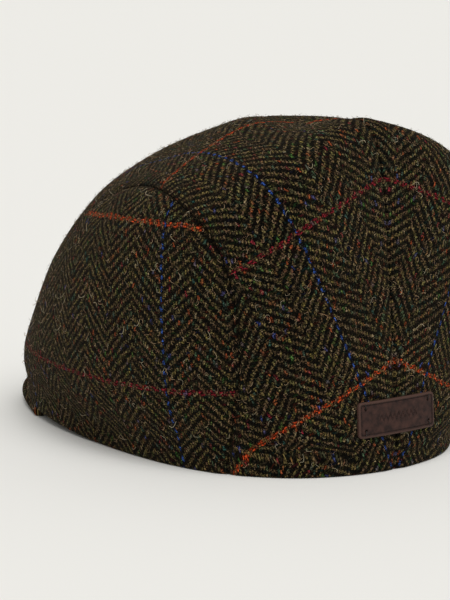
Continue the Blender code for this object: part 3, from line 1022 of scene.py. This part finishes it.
def hair_ground(name):
    """The outer faces of the cloth in one sheet, facing outward, but for those close to the table."""
    points = []
    faces = []
    for grid, inside in outer_faces:
        rows, columns = grid.shape[:2]
        _, quads = grid_faces(rows, columns)
        quads = quads + sum(len(part) for part in points)
        points.append(grid.reshape(-1, 3))
        quads = quads[np.minimum(grid[:-1, :-1, 2], grid[1:, 1:, 2]).ravel() > HAIR_FLOOR]
        sample = grid[rows // 2:rows // 2 + 2, columns // 2:columns // 2 + 2]
        facing = np.cross(sample[0, 1] - sample[0, 0], sample[1, 0] - sample[0, 0])
        faces.append(quads if facing @ (sample[0, 0] - inside) > 0 else quads[:, ::-1])
    mesh = bpy.data.meshes.new(name)
    mesh.from_pydata(np.concatenate(points).tolist(), [], np.concatenate(faces).tolist())
    return mesh


def wool_hairs(hairs):
    """Grows one set of loose hairs over the cap's outer cloth, from one small curved tube."""
    ground = hair_ground(hairs.name)
    wool = set_down(hairs.name, ground)

    tree = bpy.data.node_groups.new(hairs.name, "GeometryNodeTree")
    tree.interface.new_socket("Cloth", in_out="INPUT", socket_type="NodeSocketGeometry")
    settings = (
        ("Hairs per square metre", "NodeSocketFloat", hairs.per_area),
        ("Hair radius", "NodeSocketFloat", hairs.radius),
        ("Hair length", "NodeSocketFloat", hairs.length),
        ("Hair bend", "NodeSocketFloat", hairs.bend),
        ("Seed", "NodeSocketInt", hairs.seed),
    )
    sockets = [tree.interface.new_socket(title, in_out="INPUT", socket_type=kind)
               for title, kind, _ in settings]
    tree.interface.new_socket("Hairs", in_out="OUTPUT", socket_type="NodeSocketGeometry")
    given = tree.nodes.new("NodeGroupInput")
    result = tree.nodes.new("NodeGroupOutput")

    def step(kind, **links):
        node = tree.nodes.new(kind)
        for socket, value in links.items():
            joined(tree, node, socket.replace("_", " "), value)
        return node

    spread = step("GeometryNodeDistributePointsOnFaces", Mesh=given.outputs["Cloth"],
                  Density=given.outputs["Hairs per square metre"], Seed=given.outputs["Seed"])
    arc = step("GeometryNodeCurveQuadraticBezier", Resolution=HAIR_BENDS, Start=(0, 0, 0))
    tip = step("ShaderNodeCombineXYZ", Z=given.outputs["Hair length"])
    crook = step("ShaderNodeCombineXYZ", X=given.outputs["Hair bend"], Z=given.outputs["Hair length"])
    tree.links.new(tip.outputs[0], arc.inputs["End"])
    tree.links.new(crook.outputs[0], arc.inputs["Middle"])
    ring = step("GeometryNodeCurvePrimitiveCircle", Resolution=HAIR_SIDES,
                Radius=given.outputs["Hair radius"])
    tube = step("GeometryNodeCurveToMesh", Curve=arc.outputs[0], Profile_Curve=ring.outputs[0])
    tube.inputs["Fill Caps"].default_value = True
    tilt = tree.nodes.new("FunctionNodeRandomValue")
    tilt.data_type = "FLOAT_VECTOR"
    tilt.inputs[0].default_value = (LEAST_LEAN, 0.0, 0.0)
    tilt.inputs[1].default_value = (MOST_LEAN, 0.0, 2 * math.pi)
    tree.links.new(given.outputs["Seed"], tilt.inputs["Seed"])
    leaning = tree.nodes.new("FunctionNodeRotateRotation")
    leaning.rotation_space = "LOCAL"
    tree.links.new(spread.outputs["Rotation"], leaning.inputs[0])
    tree.links.new(tilt.outputs[0], leaning.inputs[1])
    growth = tree.nodes.new("FunctionNodeRandomValue")
    growth.data_type = "FLOAT"
    growth.inputs[2].default_value = LEAST_GROWN
    growth.inputs[3].default_value = MOST_GROWN
    tree.links.new(given.outputs["Seed"], growth.inputs["Seed"])
    placed = step("GeometryNodeInstanceOnPoints", Points=spread.outputs["Points"], Instance=tube.outputs[0],
                  Rotation=leaning.outputs[0], Scale=growth.outputs[1])
    real = step("GeometryNodeRealizeInstances", Geometry=placed.outputs[0])
    dressed = step("GeometryNodeSetMaterial", Geometry=real.outputs[0])
    dressed.inputs["Material"].default_value = hair_material(hairs.name + "_fibre", hairs.colours)
    tree.links.new(dressed.outputs[0], result.inputs["Hairs"])

    grow = wool.modifiers.new("hairs", "NODES")
    grow.node_group = tree
    for socket, (_, _, value) in zip(sockets, settings):
        grow[socket.identifier] = value
    bpy.context.view_layer.update()
    grown = bpy.data.meshes.new_from_object(wool.evaluated_get(bpy.context.evaluated_depsgraph_get()))
    wool.modifiers.clear()
    wool.data = grown
    bpy.data.meshes.remove(ground)
    bpy.data.node_groups.remove(tree)
    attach(wool, "root")


for hairs in HAIR_SETS:
    wool_hairs(hairs)


# The table is a plain pale sheet that runs out of sight, under one broad soft lamp overhead and an even
# pale sky, so the cap has only a soft shadow where its hem lifts off the table.
TABLE_SIZE = 40.0
TABLE_DROP = 0.0002
TABLE_COLOUR = paint(236, 235, 231)
SKY_COLOUR = paint(250, 249, 246)
SKY_STRENGTH = 0.50
LAMP_STRENGTH = 1.97
LAMP_SPREAD = math.radians(50)
LAMP_FROM = (0.22, 0.50, 1.0)


def lay_table():
    half = TABLE_SIZE / 2
    mesh = bpy.data.meshes.new("table_top")
    corners = [(-half, -half), (half, -half), (half, half), (-half, half)]
    mesh.from_pydata([(across, along, -TABLE_DROP) for across, along in corners], [], [(0, 1, 2, 3)])
    sheet, _, _ = new_material("pale_table", Base_Color=TABLE_COLOUR, Roughness=0.9,
                               Specular_IOR_Level=0.1)
    mesh.materials.append(sheet)
    table = set_down("table_top", mesh)


def light_studio():
    sky = bpy.data.worlds.new("pale_studio")
    sky.use_nodes = True
    backdrop = sky.node_tree.nodes["Background"]
    backdrop.inputs["Color"].default_value = SKY_COLOUR
    backdrop.inputs["Strength"].default_value = SKY_STRENGTH
    bpy.context.scene.world = sky
    light = bpy.data.lights.new("broad_lamp", "SUN")
    light.energy = LAMP_STRENGTH
    light.angle = LAMP_SPREAD
    lamp = set_down("broad_lamp", light)
    lamp.location = LAMP_FROM
    lamp.rotation_euler = Vector(LAMP_FROM).to_track_quat("Z", "Y").to_euler()


lay_table()
light_studio()
bpy.context.scene.view_settings.view_transform = "Standard"
